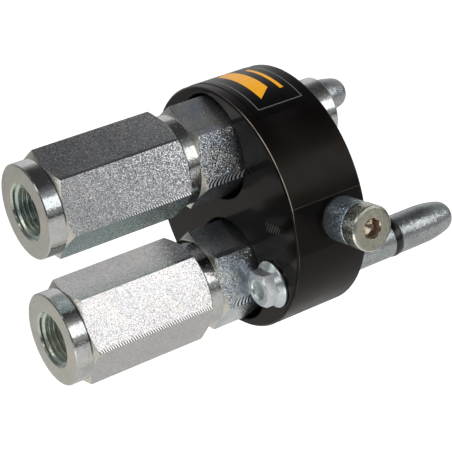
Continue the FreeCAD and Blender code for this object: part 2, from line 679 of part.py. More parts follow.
def roller_screw(name, side):
    """Shoulder screw with a low round head and a hexagon socket."""
    body = new_body(name)
    head = f"({FLAT} + washer_thickness + roller_length + 2 * roller_end_gap)"
    top = f"({head} + screw_head_height)"
    thread_end = f"({FLAT} - screw_thread_length)"
    neck = "(screw_thread_radius - screw_relief)"
    revolve(body, [
        (thread_end, "0"), (thread_end, neck), (f"{thread_end} + screw_relief", "screw_thread_radius"),
        (f"{FLAT} - 2 * screw_relief", "screw_thread_radius"), (f"{FLAT} - screw_relief", neck),
        (FLAT, neck), (FLAT, "shoulder_radius"), (head, "shoulder_radius"),
        (head, "screw_head_radius - screw_head_chamfer"),
        (f"{head} + screw_head_chamfer", "screw_head_radius"),
        (f"{top} - screw_head_chamfer", "screw_head_radius"),
        (top, "screw_head_radius - screw_head_chamfer"), (top, "0"),
    ])
    add_feature(body, "Pocket", hexagon(body, "socket_width", top), "socket_depth")
    # Mouth chamfer and drilled floor of the socket
    mouth = "(socket_width / sqrt(3))"
    floor = f"({top} - socket_depth)"
    drill = "(socket_width / 2 - fit_gap)"
    turn_away(body, [(f"{top} - screw_relief", "0"), (f"{top} - screw_relief", f"{mouth} - screw_relief"),
                     (top, mouth), (top, "0")])
    turn_away(body, [(f"{floor} + screw_relief", "0"), (f"{floor} + screw_relief", drill), (floor, drill),
                     (f"{floor} - {drill} / sqrt(3)", "0")])
    return side_ways(body, side)


def identification_label():
    """Thin film that follows the block's crown."""
    body = new_body("identification_label")
    inner = "(block_radius + label_gap)"
    outer = f"({inner} + label_thickness)"
    start, end = f"({FRONT} + label_start)", f"({FRONT} + label_start + label_width)"
    profile = outline(body, "XZ_Plane", [(start, inner), (start, outer), (end, outer), (end, inner)])
    film = body.newObject("PartDesign::Revolution", "identification_label_film")
    film.Profile = profile
    film.ReferenceAxis = (profile, ["H_Axis"])
    film.Midplane = True
    film.setExpression("Angle", bound("label_angle"))
    return body


subparts = [coupling_block(), identification_label()]
for place, line in (("upper", UPPER_LINE), ("lower", LOWER_LINE)):
    subparts += [
        port_body(f"port_body_{place}", line, f"port_turn_{place}"),
        probe_body(f"probe_body_{place}", line, f"probe_turn_{place}"),
        valve_guide(f"valve_guide_{place}", line),
        valve_poppet(f"valve_poppet_{place}", line),
        valve_spring(f"valve_spring_{place}", line),
        ring_seal(f"joint_seal_{place}", line, f"({JOINT} + joint_seal_setback + fit_gap)",
                  "joint_seal_section", "(spigot_radius + fit_gap / 2)"),
        ring_seal(f"shank_seal_{place}", line, f"({RECESS_FLOOR} + shank_seal_setback + fit_gap)",
                  "shank_seal_section", "(shank_radius + fit_gap / 2)"),
        ring_seal(f"poppet_seal_{place}", line,
                  f"({VALVE_SEAT} + valve_land / 2 - poppet_seal_section / 2)",
                  "poppet_seal_section", f"({POPPET_RADIUS} + fit_gap / 2)"),
    ]
for place in ("lower", "upper"):
    subparts += [
        guide_pin(f"guide_pin_{place}", *PIN_PLACES[place]),
        guide_pin_seal(f"guide_pin_seal_{place}", *PIN_PLACES[place]),
    ]
for place, side in (("left", 1), ("right", -1)):
    subparts.append(cam_roller(f"cam_roller_{place}", side))
subparts += [
    group("flange_bolts", [flange_bolt(f"flange_bolt_{place}", *PIN_PLACES[place]) for place in PIN_PLACES]),
    group("retaining_clips", [
        retaining_clip("retaining_clip_upper", UPPER_LINE),
        retaining_clip("retaining_clip_lower", LOWER_LINE),
    ]),
    group("roller_screws", [roller_screw("roller_screw_left", 1), roller_screw("roller_screw_right", -1)]),
    group("roller_washers", [roller_washer("roller_washer_left", 1), roller_washer("roller_washer_right", -1)]),
]

doc.recompute()
for item in doc.Objects:
    if "Invalid" in item.State or "Error" in item.State:
        raise RuntimeError(f"{item.Name} failed: {item.State}")
for subpart in subparts:
    if subpart.Shape.isNull() or not subpart.Shape.isValid():
        raise RuntimeError(f"{subpart.Label} has no valid shape")

os.makedirs("parts", exist_ok=True)
for subpart in subparts:
    subpart.Shape.exportStep(f"parts/{subpart.Label}.step")
    box = subpart.Shape.BoundBox
    print(f"{subpart.Label}: {len(subpart.Shape.Solids)} solids, {subpart.Shape.Volume:.0f} mm3, "
          f"x {box.XMin:.1f} to {box.XMax:.1f}")
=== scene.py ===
"""Looks of a hydraulic multi-coupling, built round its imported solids.

Sizes are in millimetres in the part's own frame. +X is the direction in which the half is pushed home, +Z runs
from the lower line to the upper one, and the mating face lies at X 0. The camera looks at the -Y side.
"""

import logging
import math
from collections.abc import Callable
from dataclasses import dataclass
from enum import Enum
from functools import reduce

import bpy
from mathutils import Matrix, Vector

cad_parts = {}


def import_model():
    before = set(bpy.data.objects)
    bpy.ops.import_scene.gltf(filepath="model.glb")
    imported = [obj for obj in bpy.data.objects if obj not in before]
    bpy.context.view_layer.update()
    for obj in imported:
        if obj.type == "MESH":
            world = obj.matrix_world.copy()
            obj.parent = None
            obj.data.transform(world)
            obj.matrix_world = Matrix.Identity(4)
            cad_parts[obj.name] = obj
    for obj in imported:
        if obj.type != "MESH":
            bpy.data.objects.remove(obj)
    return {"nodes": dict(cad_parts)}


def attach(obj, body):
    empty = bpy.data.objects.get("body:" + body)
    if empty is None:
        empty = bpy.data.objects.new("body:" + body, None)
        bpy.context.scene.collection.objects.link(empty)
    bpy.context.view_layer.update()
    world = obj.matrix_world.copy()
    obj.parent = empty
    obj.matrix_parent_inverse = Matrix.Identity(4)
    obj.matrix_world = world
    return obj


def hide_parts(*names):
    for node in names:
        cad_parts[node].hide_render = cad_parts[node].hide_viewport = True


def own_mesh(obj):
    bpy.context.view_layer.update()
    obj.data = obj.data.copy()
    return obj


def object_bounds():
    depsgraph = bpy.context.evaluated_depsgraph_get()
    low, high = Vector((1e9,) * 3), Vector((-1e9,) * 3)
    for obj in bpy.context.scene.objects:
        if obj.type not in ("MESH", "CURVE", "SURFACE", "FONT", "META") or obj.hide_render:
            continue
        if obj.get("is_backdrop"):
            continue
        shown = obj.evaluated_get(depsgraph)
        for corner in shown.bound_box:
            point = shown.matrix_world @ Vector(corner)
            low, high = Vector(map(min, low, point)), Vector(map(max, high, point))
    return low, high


LOG = logging.getLogger("multi_coupling")
MM = 0.001
HOUSING = "housing"
# How many times longer than wide the lines of drawn bar are
DRAWN_LENGTH = 60
# Width and depth of the fall at a round end's rim
RIM_WIDTH = 1.4
RIM_DEPTH = 0.7
# Place along X where the twisted flats of a port body aren't turned
TWIST_MIDDLE = -82.0
# How far below its height a dark joint fades out, how dark it is, and the colour of all dark places
SEAM_FADE = 4.0
SEAM_SHADE = 0.9
SHADOW = "#15171a"

Material = bpy.types.Material
Piece = bpy.types.Object
Nodes = dict[str, Piece]
Socket = bpy.types.NodeSocket
Pair = tuple[float, float]
Triple = tuple[float, float, float]


def linear(code: str) -> tuple[float, float, float, float]:
    """Turn an sRGB hex value into a linear colour.

    Args:
        code: The colour, such as "#c0c4c6".

    Returns:
        Red, green, blue and an alpha of 1.
    """
    shares = [int(code[place:place + 2], 16) / 255 for place in (1, 3, 5)]
    red, green, blue = (s / 12.92 if s <= 0.04045 else ((s + 0.055) / 1.055) ** 2.4 for s in shares)
    return red, green, blue, 1.0


def output_of(value: object) -> object:
    """A node's first output in use, or the value itself if it isn't a node."""
    if isinstance(value, bpy.types.Node):
        return next(socket for socket in value.outputs if socket.enabled)
    return value


def connect(tree: bpy.types.NodeTree, socket: Socket, value: object) -> None:
    """Link an output to a socket, or set the socket to a value.

    Args:
        tree: The tree that they are in.
        socket: The socket.
        value: A node, an output, a plain value or a colour's sRGB hex value.
    """
    value = linear(value) if isinstance(value, str) else output_of(value)
    if isinstance(value, Socket):
        tree.links.new(value, socket)
    else:
        socket.default_value = value


def add_node(tree: bpy.types.NodeTree, kind: str, inputs: dict | None = None,
             **settings: object) -> bpy.types.Node:
    """Add a node with its settings, values and links.

    Args:
        tree: The tree that gets the node.
        kind: The node's type without the word ShaderNode.
        inputs: A value, an output or a node for each input, by its name or its place among those in use.
        settings: Properties of the node.

    Returns:
        The new node.
    """
    node = tree.nodes.new(f"ShaderNode{kind}")
    for name, value in settings.items():
        setattr(node, name, value)
    in_use = [socket for socket in node.inputs if socket.enabled]
    for key, value in (inputs or {}).items():
        socket = in_use[key] if isinstance(key, int) else next(s for s in in_use if s.name == key)
        connect(tree, socket, value)
    return node


class Marks(Enum):
    """Which way the fine lines run that a tool left."""

    NONE = "none, as forged or blasted"
    DRAWN = "drawn along X"
    TURNED_X = "turned about X"
    TURNED_Y = "turned about Y"
    FACED_X = "faced across X"
    FACED_Y = "faced across Y"


@dataclass(frozen=True)
class Place:
    """Where a pattern is centred, and how far it is turned about X in degrees."""

    x: float = 0.0
    y: float = 0.0
    z: float = 0.0
    turn: float = 0.0


class Surface:
    """A material in the making, on object coordinates in millimetres."""

    def __init__(self, name: str, place: Place = Place()) -> None:
        """Start the material.

        Args:
            name: Its name.
            place: Where its patterns are centred.
        """
        self.material = bpy.data.materials.new(name)
        self.material.use_nodes = True
        self.tree = self.material.node_tree
        self.shader = self.tree.nodes["Principled BSDF"]
        coordinates = add_node(self.tree, "TexCoord")
        self.point = add_node(self.tree, "Mapping", {
            "Vector": coordinates.outputs["Object"],
            "Location": (place.x * MM, place.y * MM, place.z * MM),
            "Rotation": (math.radians(place.turn), 0, 0),
            "Scale": (MM, MM, MM),
        }, vector_type="TEXTURE")
        self.x, self.y, self.z = add_node(self.tree, "SeparateXYZ", {0: self.point}).outputs

    def math(self, operation: str, *values: object, kind: str = "Math") -> Socket:
        """The result of one sum on values, or on vectors where the kind is VectorMath."""
        return output_of(add_node(self.tree, kind, dict(enumerate(values)), operation=operation))

    def product(self, *values: object) -> Socket:
        """The product of several values and outputs."""
        return reduce(lambda first, second: self.math("MULTIPLY", first, second), values)

    def ramp(self, value: object, low: float, high: float, start: float = 0.0, end: float = 1.0) -> Socket:
        """Go smoothly from start to end while a value goes from low to high."""
        return output_of(add_node(self.tree, "MapRange", {
            0: value, 1: low, 2: high, 3: start, 4: end,
        }, interpolation_type="SMOOTHSTEP"))

    def progress(self, value: object, start: float, width: float) -> Socket:
        """How far a value has gone from start over a width, from 0 to 1."""
        share = self.math("DIVIDE", self.math("SUBTRACT", value, start), width)
        return output_of(add_node(self.tree, "Clamp", {"Value": share}))

    def within(self, value: object, low: float, high: float, soft: float) -> Socket:
        """A share of 1 between two limits and 0 outside them, with soft edges of a given width."""
        rise = self.ramp(value, low - soft, low)
        return self.product(rise, self.ramp(value, high, high + soft, 1.0, 0.0))

    def stripes(self, along: object, pitch: float, low: float, high: float) -> Socket:
        """Stripes across a distance, which come up as their wave goes from low to high."""
        wave = self.math("SINE", self.product(along, math.tau / pitch))
        return self.ramp(wave, low, high)

    def from_axis(self, first: object, second: object) -> Socket:
        """Distance from the axis that two coordinates are measured from."""
        return self.math("SQRT", self.math("ADD", self.product(first, first), self.product(second, second)))

    def angle(self) -> Socket:
        """Angle about X from the top towards -Y, in radians."""
        return self.math("ARCTAN2", self.product(self.y, -1.0), self.z)

    def grain(self, size: float, detail: float = 2.0, stretch: Triple = (1, 1, 1)) -> Socket:
        """Cloudy grain of a real size.

        Args:
            size: Width of a grain.
            detail: How many finer layers it has.
            stretch: How many times longer it is along each axis.

        Returns:
            A value round 0.5.
        """
        scale = tuple(1 / (size * factor) for factor in stretch)
        scaled = self.math("MULTIPLY", self.point, scale, kind="VectorMath")
        return add_node(self.tree, "TexNoise", {"Vector": scaled, "Scale": 1.0, "Detail": detail}).outputs[0]

    def tool_marks(self, marks: Marks, feed: float) -> Socket:
        """Fine lines that a tool left.

        Args:
            marks: Which way they run.
            feed: Distance from one to the next.

        Returns:
            A value round 0.5.
        """
        if marks is Marks.DRAWN:
            return self.grain(feed, 1.0, (DRAWN_LENGTH, 1, 1))
        across = {
            Marks.TURNED_X: lambda: self.x,
            Marks.TURNED_Y: lambda: self.y,
            Marks.FACED_X: lambda: self.from_axis(self.y, self.z),
            Marks.FACED_Y: lambda: self.from_axis(self.x, self.z),
        }[marks]()
        return add_node(self.tree, "TexNoise", {
            "W": across, "Scale": 1 / feed, "Detail": 3.0, "Roughness": 0.7,
        }, noise_dimensions="1D").outputs[0]

    def corner_fall(self, half: float, width: float) -> Socket:
        """How far a hexagon's top flat has fallen to its front corner.

        Args:
            half: Half the width of the flat.
            width: Width of the strip that falls.

        Returns:
            A share from 0 to 1.
        """
        towards = (0, -math.cos(math.radians(30)), -math.sin(math.radians(30)))
        reach = self.math("DOT_PRODUCT", self.point, towards, kind="VectorMath")
        return self.progress(reach, half - width, width)

    def blend(self, share: object, first: object, second: object) -> Socket:
        """Mix two colours by a share."""
        return output_of(add_node(self.tree, "Mix", {0: share, 1: first, 2: second}, data_type="RGBA"))

    def crystals(self, size: float) -> Socket:
        """Crystals of a real size, as a random colour for each."""
        scaled = self.math("SCALE", self.point, 1 / size, kind="VectorMath")
        return add_node(self.tree, "TexVoronoi", {"Vector": scaled, "Scale": 1.0}).outputs["Color"]

    def lean(self, crystals: object, tilt: object) -> Socket:
        """How each crystal's face leans, as a vector, for a given slope."""
        centred = self.math("SUBTRACT", crystals, (0.5, 0.5, 0.5), kind="VectorMath")
        return self.math("SCALE", centred, self.product(tilt, 2.0), kind="VectorMath")

    def relief(self, height: object, rounding: float, *leans: object) -> None:
        """Raise the surface, soften its edges and make it lean.

        Args:
            height: Height in millimetres.
            rounding: Radius of the edges.
            leans: Vectors that are added to the direction it faces.
        """
        facing = output_of(add_node(self.tree, "Bevel", {"Radius": rounding * MM}, samples=4))
        for lean in leans:
            facing = self.math("ADD", facing, lean, kind="VectorMath")
        if leans:
            facing = self.math("NORMALIZE", facing, kind="VectorMath")
        bump = add_node(self.tree, "Bump", {"Height": height, "Distance": MM, "Normal": facing})
        connect(self.tree, self.shader.inputs["Normal"], bump)

    def finish(self, colour: object, roughness: object, **fixed: object) -> Material:
        """Connect or set the shader's inputs.

        Args:
            colour: The colour.
            roughness: The roughness.
            fixed: Other inputs by their names, with _ for a blank.

        Returns:
            The material.
        """
        named = {"Base_Color": colour, "Roughness": roughness, **fixed}
        for name, value in named.items():
            connect(self.tree, self.shader.inputs[name.replace("_", " ")], value)
        return self.material


@dataclass(frozen=True)
class Chatter:
    """Row of short cutter marks along the lower corner of a hexagon's front flat.

    Args:
        corner: Distance of the corner from the middle of the flat.
        pitch: Distance from one mark to the next.
        length: How far a mark reaches from the corner.
        slant: How far a mark leans along X for each millimetre away from the corner.
        shade: How much darker the gaps between the marks are painted, as painted shade.
        start: Where the row starts, along X.
        lift: How far a mark faces upwards, as a slope.
        dull: How much less a mark mirrors, where the cutter tore the metal.
        run_in: Distance over which the row comes up from its start.
    """

    corner: float
    pitch: float
    length: float
    slant: float
    shade: float
    start: float
    lift: float = 0.0
    dull: float = 0.0
    run_in: float = 8.0

    def shares(self, surface: Surface) -> tuple[Socket, Socket]:
        """Find the row on a surface.

        Args:
            surface: The material in the making.

        Returns:
            Shares of a place that the row covers, and that one of its marks covers.
        """
        away = surface.math("ADD", surface.z, self.corner)
        reach = surface.ramp(surface.grain(2.0), 0.3, 0.7, self.length * 0.75, self.length * 1.15)
        row = surface.product(
            surface.ramp(away, -0.15, 0.05),
            surface.ramp(surface.math("DIVIDE", away, reach), 0.75, 1.0, 1.0, 0.0),
            surface.ramp(surface.x, self.start, self.start + self.run_in),
            surface.math("LESS_THAN", surface.y, 0.0),
        )
        curved = surface.product(away, away, self.slant / self.length)
        drift = surface.product(surface.grain(8.0, 0.0), self.pitch)
        along = surface.math("ADD", surface.math("ADD", surface.x, curved), drift)
        return row, surface.product(row, surface.stripes(along, self.pitch, -0.5, 0.3))


@dataclass(frozen=True)
class PlatedSteel:
    """Steel under a few micrometres of zinc or nickel.

    Args:
        hue: Plain colour.
        bloom: Colour where the passivation is thicker.
        roughness: How far it blurs what it reflects.
        crystal: Width of the crystals that sparkle.
        tilt: How far the crystals lean, as a slope.
        speck: How much darker some crystals are.
        marks: Which way the tool's lines run.
        feed: Distance from one line to the next.
        score: Height of the lines.
        rounding: Radius of the edges.
        wave: Height of the slow waves in the surface.
        under: Lighter colour painted below a hexagon's lower corners as painted reflected light, if it differs
            there.
        fall: How far a hexagon's top flat falls away to its front corner.
        strip: Width of the strip that falls away.
        rim: Where a round end starts to fall to its rim, or 0 if it doesn't.
        dish: How far an end across X hollows for each millimetre from its middle, as a slope.
        twist: How far a port body's flats turn upwards for each millimetre along X, as a slope.
        metallic: How much of it mirrors; the rest scatters.
        calm: Share of the crystals' lean that a hexagon's top flats lack.
        nicks: Depth of the small nicks from handling.
    """

    hue: str
    bloom: str
    roughness: float
    crystal: float
    tilt: float
    speck: float
    marks: Marks
    feed: float = 0.25
    score: float = 0.002
    rounding: float = 0.2
    wave: float = 0.0
    under: str = ""
    fall: float = 0.0
    strip: float = 1.4
    rim: float = 0.0
    dish: float = 0.0
    twist: float = 0.0
    metallic: float = 1.0
    calm: float = 0.0
    nicks: float = 0.0

    def build(self, name: str, place: Place = Place(), half: float = 10.0, chatter: Chatter | None = None,
              seams: tuple[Triple, ...] = ()) -> Material:
        """Make the material.

        Args:
            name: Its name.
            place: Where its patterns are centred.
            half: Half the width of a hexagon's flat.
            chatter: The hexagon's cutter marks, if it has any.
            seams: Where each dark joint starts and ends along X, and the height above which all of it shows.

        Returns:
            The material.
        """
        surface = Surface(name, place)
        crystals = surface.crystals(self.crystal)
        random = add_node(surface.tree, "SeparateColor", {0: crystals}).outputs[0]
        dark = surface.product(surface.math("POWER", random, 4.0), self.speck)
        tilt = surface.ramp(surface.z, half - 0.2, half + 0.2, self.tilt, self.tilt * (1 - self.calm))
        metallic = self.metallic
        slopes = []
        if chatter:
            row, mark = chatter.shares(surface)
            clear = surface.math("SUBTRACT", 1.0, row)
            # Painted shade: the gaps between the marks get a darker colour
            painted_gap_shade = surface.product(surface.math("SUBTRACT", row, mark), chatter.shade)
            dark = surface.math("MULTIPLY_ADD", dark, clear, painted_gap_shade)
            tilt = surface.product(clear, tilt)
            slopes.append({"Z": surface.product(mark, chatter.lift)})
            metallic = surface.math("SUBTRACT", metallic, surface.product(mark, chatter.dull))
        for start, end, above in seams:
            shown = surface.ramp(surface.z, above - SEAM_FADE, above)
            seam = surface.product(surface.within(surface.x, start, end, 0.1), shown, SEAM_SHADE)
            dark = surface.math("MAXIMUM", dark, seam)
        if self.dish:
            sideways, upwards = (surface.product(value, -self.dish) for value in (surface.y, surface.z))
            slopes.append({"Y": sideways, "Z": upwards})
        if self.twist:
            slopes.append({"Z": surface.product(surface.math("SUBTRACT", surface.x, TWIST_MIDDLE), self.twist)})
        leans = [add_node(surface.tree, "CombineXYZ", slope) for slope in slopes]
        surface.relief(self.height(surface, half), self.rounding, surface.lean(crystals, tilt), *leans)
        cloud = surface.ramp(surface.grain(9.0, 3.0), 0.35, 0.65)
        colour = surface.blend(cloud, self.hue, self.bloom)
        if self.under:
            # Painted reflected light: a lighter colour below the lower corners
            below = surface.ramp(surface.z, -half - 1.0, -half, 1.0, 0.0)
            colour = surface.blend(below, colour, self.under)
        colour = surface.blend(dark, colour, SHADOW)
        smear = surface.grain(14.0, 4.0, (1.6, 1, 1))
        rough = surface.ramp(smear, 0.3, 0.7, self.roughness * 0.85, self.roughness * 1.2)
        return surface.finish(colour, rough, Metallic=metallic)

    def height(self, surface: Surface, half: float) -> Socket:
        """Height of waves, tool lines, falling edges and nicks.

        Args:
            surface: The material in the making.
            half: Half the width of a hexagon's flat.

        Returns:
            The height in millimetres.
        """
        height = surface.product(surface.grain(3.5, 3.0, (2, 1, 1)), self.wave)
        layers = []
        if self.marks is not Marks.NONE:
            layers.append((surface.tool_marks(self.marks, self.feed), self.score))
        if self.fall:
            layers.append((surface.corner_fall(half, self.strip), -self.fall))
        if self.rim:
            past = surface.progress(surface.from_axis(surface.x, surface.z), self.rim, RIM_WIDTH)
            layers.append((surface.math("POWER", past, 2.0), -RIM_DEPTH))
        if self.nicks:
            layers.append((surface.ramp(surface.grain(1.1, 1.0), 0.66, 0.74), -self.nicks))
        for pattern, rise in layers:
            height = surface.math("MULTIPLY_ADD", pattern, rise, height)
        return height


@dataclass(frozen=True)
class AnodisedAluminium:
    """Black hard-anodised aluminium: a dark satin film, with thin light lines of wear and painted highlight on
    its rim and edges.

    Args:
        hue: Dyed film.
        faded: Film where it took less dye.
        bare_and_highlight: Metal that shows where it is worn, also the colour of the painted highlights.
        feed: Distance between the turning marks under the film.
        line: Half the width of the light lines.
        rim: Distance from the axis beyond which the rim line lies.
        rim_line: Where its light line lies along X.
        rim_wear_and_highlight: Angles about X, in radians, between which the rim line is brightest, as a
            painted highlight.
        flat_edge: Height of the milled flats' upper edges, which carry a painted highlight.
        flat_reach: Distance from the middle beyond which the flats lie.
        scuff: Where a scuffed patch of the face is centred along Y and Z.
        scuff_half: Half its width and half its height.
        scuff_pitch: Distance between its scratches, drawn coarser than the real 0.8 mm so that they show.
        scuff_slant: How far they lean sideways for each millimetre upwards.
        wear_and_highlight_shares: How bare the rim is, how much painted highlight it gets between those angles,
            how strong the painted highlight on the flats' edges is, and how bare the scratches are.
    """

    hue: str = "#060505"
    faded: str = "#110e0f"
    bare_and_highlight: str = "#d8cfc0"
    feed: float = 0.3
    line: float = 0.06
    rim: float = 47.6
    rim_line: float = -31.75
    rim_wear_and_highlight: Pair = (0.75, 1.25)
    flat_edge: float = 9.33
    flat_reach: float = 47.0
    scuff: Pair = (-33.7, -0.9)
    scuff_half: Pair = (4.4, 1.6)
    scuff_pitch: float = 1.5
    scuff_slant: float = 0.7
    wear_and_highlight_shares: tuple[float, float, float, float] = (0.15, 0.75, 0.12, 0.13)

    def build(self, name: str, marks: Marks, roughness: float, level: float) -> Material:
        """Make the material.

        Args:
            name: Its name.
            marks: Which way the tool's lines run.
            roughness: How far it blurs what it reflects.
            level: How strongly it mirrors, where 0.5 is usual.

        Returns:
            The material.
        """
        surface = Surface(name)
        cloud = surface.ramp(surface.grain(16.0, 4.0), 0.35, 0.7)
        colour = surface.blend(cloud, self.hue, self.faded)
        least, rim_highlight, edge_highlight, scuff_wear = self.wear_and_highlight_shares
        patchy = surface.ramp(surface.grain(6.0, 4.0), 0.3, 0.55, 0.4, 1.0)
        # The rim line is worn all round, and brighter between the given angles as a painted highlight
        rim_wear_and_highlight = surface.math("MULTIPLY_ADD", surface.within(surface.angle(), *self.rim_wear_and_highlight, 0.35), rim_highlight, least)
        outside = surface.math("GREATER_THAN", surface.from_axis(surface.y, surface.z), self.rim)
        line = surface.within(surface.x, self.rim_line - self.line, self.rim_line + self.line, self.line)
        worn_and_highlit = surface.product(line, outside, rim_wear_and_highlight, patchy)
        # Painted highlight: a light line along the flats' upper edges only
        beside = surface.math("GREATER_THAN", surface.math("ABSOLUTE", surface.y), self.flat_reach)
        edge = surface.within(surface.z, self.flat_edge - self.line, self.flat_edge + self.line, self.line)
        worn_and_highlit = surface.math("MAXIMUM", worn_and_highlit, surface.product(edge, beside, patchy, edge_highlight))
        worn_and_highlit = surface.math("MAXIMUM", worn_and_highlit, surface.product(self.scratches(surface), scuff_wear))
        colour = surface.blend(worn_and_highlit, colour, self.bare_and_highlight)
        lines = surface.product(surface.tool_marks(marks, self.feed), 0.006)
        pits = surface.product(surface.grain(0.6), 0.008)
        surface.relief(surface.math("ADD", lines, pits), 0.35)
        rough = surface.ramp(surface.grain(11.0, 5.0), 0.3, 0.7, roughness * 0.85, roughness * 1.25)
        # The porous film mirrors weakly, and a little warm
        return surface.finish(colour, rough, IOR=1.6, Specular_IOR_Level=level, Specular_Tint="#ffeedd")

    def scratches(self, surface: Surface) -> Socket:
        """The short slanting scratches of the scuffed patch.

        Args:
            surface: The material in the making.

        Returns:
            Share of a place that they cover.
        """
        middle, height = self.scuff
        half_width, half_height = self.scuff_half
        sideways = surface.math("SUBTRACT", surface.y, middle)
        upwards = surface.math("SUBTRACT", surface.z, height)
        slanted = surface.math("MULTIPLY_ADD", upwards, self.scuff_slant, sideways)
        return surface.product(
            surface.within(sideways, -half_width, half_width, 0.6),
            surface.within(upwards, -half_height, half_height, 0.5),
            surface.math("LESS_THAN", surface.x, self.rim_line),
            surface.stripes(slanted, self.scuff_pitch, 0.3, 0.8),
        )


@dataclass(frozen=True)
class NitrileRubber:
    """Moulded black nitrile, a little oily: nearly black, with a clear glint."""

    hue: str = "#0b0b0b"
    bloom: str = "#1a1a1a"
    roughness: float = 0.15

    def build(self, name: str, rounding: float = 0.2) -> Material:
        """Make the material.

        Args:
            name: Its name.
            rounding: Radius of the edges.

        Returns:
            The material.
        """
        surface = Surface(name)
        bloom = surface.ramp(surface.grain(2.5, 4.0), 0.4, 0.75)
        colour = surface.blend(bloom, self.hue, self.bloom)
        surface.relief(surface.product(surface.grain(0.3), 0.006), rounding)
        rough = surface.ramp(surface.grain(1.5), 0.3, 0.7, self.roughness * 0.8, self.roughness * 1.2)
        return surface.finish(colour, rough, IOR=1.52)


@dataclass(frozen=True)
class PrintedFilm:
    """Black polyester label film with a thin grey frame and plain amber bars.

    Args:
        radius: Radius of the film's face about X.
        frame_ends: Where the frame's two curved sides lie along X.
        frame_angle: How far the frame reaches each way from the top, in degrees.
        frame_line: Width of the frame's line.
        bars: For each bar its ends along X, its ends round the film, how far these lean for each millimetre
            along X, and the softness of its sides.
    """

    radius: float = 48.92
    frame_ends: Pair = (-25.2, -5.6)
    frame_angle: float = 31.0
    frame_line: float = 0.35
    bars: tuple[tuple[float, ...], ...] = (
        (-20.6, -14.0, -24.0, 5.0, 0.8, 0.15),
        (-10.2, -8.7, -4.0, 19.0, 0.0, 0.1),
    )

    def build(self, name: str) -> Material:
        """Make the material.

        Args:
            name: Its name.

        Returns:
            The material.
        """
        surface = Surface(name)
        around = surface.product(surface.angle(), self.radius)
        reach = math.radians(self.frame_angle) * self.radius
        start, end = self.frame_ends
        outer, inner = (
            surface.product(surface.within(surface.x, start - past, end + past, 0.1),
                            surface.within(around, -reach - past, reach + past, 0.1))
            for past in (self.frame_line / 2, -self.frame_line / 2)
        )
        frame = surface.math("SUBTRACT", outer, inner)
        colour = surface.blend(surface.product(frame, 0.45), "#060606", "#a5a4a0")
        scuffed = surface.ramp(surface.grain(0.8, 4.0), 0.3, 0.42, 0.75, 1.0)
        for left, right, low, high, slant, soft in self.bars:
            slanted = surface.math("MULTIPLY_ADD", surface.x, slant, around)
            bar = surface.product(surface.within(surface.x, left, right, soft),
                                  surface.within(slanted, low, high, 0.15), scuffed)
            colour = surface.blend(bar, colour, "#fdb01c")
        surface.relief(surface.product(surface.grain(1.6), 0.004), 0.1)
        rough = surface.ramp(surface.grain(7.0, 3.0), 0.3, 0.7, 0.24, 0.32)
        return surface.finish(colour, rough, IOR=1.57, Specular_IOR_Level=0.16)


# Cold-drawn hexagon bar under clear-passivated zinc: grey-white and sparkling. Its crystals are drawn 0.25 mm
# wide, because the real ones of 0.1 mm are finer than a pixel
DRAWN_FLAT = PlatedSteel("#dbd8d6", "#d4d3d5", 0.17, 0.25, 0.08, 0.6, Marks.DRAWN, 0.45, 0.004, 0.1, fall=0.2)
# The same on the upper bodies, with a lighter, greenish colour below their lower corners as painted reflected
# light
GREEN_FLAT = PlatedSteel("#eeeff2", "#e6e9ec", 0.22, 0.25, 0.13, 0.85, Marks.DRAWN, 0.45, 0.004, 0.1,
                         under="#effffe", fall=0.2, twist=0.0018, calm=0.25)
# Shorter hexagons of the probe bodies: the strongest crystals, with a blue bloom
COARSE_FLAT = PlatedSteel("#f2f3f0", "#d2dce8", 0.21, 0.24, 0.22, 0.7, Marks.DRAWN, 0.45, 0.004, 0.1,
                          fall=1.1, strip=2.5, metallic=0.93, calm=0.7)
# The same on turned places: smooth, with fine rings and small dents
TURNED_ZINC = PlatedSteel("#d9d8d6", "#c5c9ca", 0.12, 0.5, 0.015, 0.25, Marks.TURNED_X, 0.25, 0.004, 0.2, 0.08,
                          nicks=0.03)
# Faced ends: duller and warmer, with rings round the bore
FACED_ZINC = PlatedSteel("#e4e1d6", "#dadad2", 0.36, 0.5, 0.03, 0.12, Marks.FACED_X, 0.2, 0.002, 0.2)
# Chamfer turned on the hexagon's corners: bright and slightly warm
HEX_CHAMFER = PlatedSteel("#ebe7dc", "#d8dad1", 0.24, 0.5, 0.03, 0.15, Marks.TURNED_X, 0.25, 0.004, 0.12)
# Drilled places: thin plating over oily steel, greenish
BORED_ZINC = PlatedSteel("#dfe4d6", "#d0d9d0", 0.16, 0.6, 0.02, 0.1, Marks.TURNED_X, 0.25, 0.003, 0.08)
# Tapped thread, with crests rounded by the plating
TAPPED_ZINC = PlatedSteel("#eef3e4", "#cfdedb", 0.14, 0.6, 0.03, 0.15, Marks.NONE, rounding=0.3, metallic=0.75)
# Guide pins: turned, then tumbled, with long streaks
PIN_ZINC = PlatedSteel("#bdc0c1", "#aab0b3", 0.28, 0.45, 0.1, 0.5, Marks.TURNED_X, 0.4, 0.004, 0.3, 0.05)
# Bolt heads under blue-passivated zinc: smooth on the flange, hollow in the dish, dull on the forged flats
BLUE_ZINC = PlatedSteel("#f0f5f4", "#d3dde2", 0.22, 0.3, 0.02, 0.1, Marks.NONE, rounding=0.22, metallic=0.93)
DISHED_ZINC = PlatedSteel("#c6cfcc", "#aebabb", 0.13, 0.3, 0.03, 0.2, Marks.NONE, rounding=0.1, wave=0.04,
                          dish=0.075)
FORGED_ZINC = PlatedSteel("#f6f8fd", "#e8edf5", 0.42, 0.2, 0.08, 0.4, Marks.NONE, rounding=0.15, metallic=0.9)
# Hardened roller, blasted before plating: bluish and speckled
ROLLER_ZINC = PlatedSteel("#b6cbdc", "#cdd9e4", 0.26, 0.35, 0.24, 0.9, Marks.TURNED_Y, 0.3, 0.003, 0.5,
                          metallic=0.9)
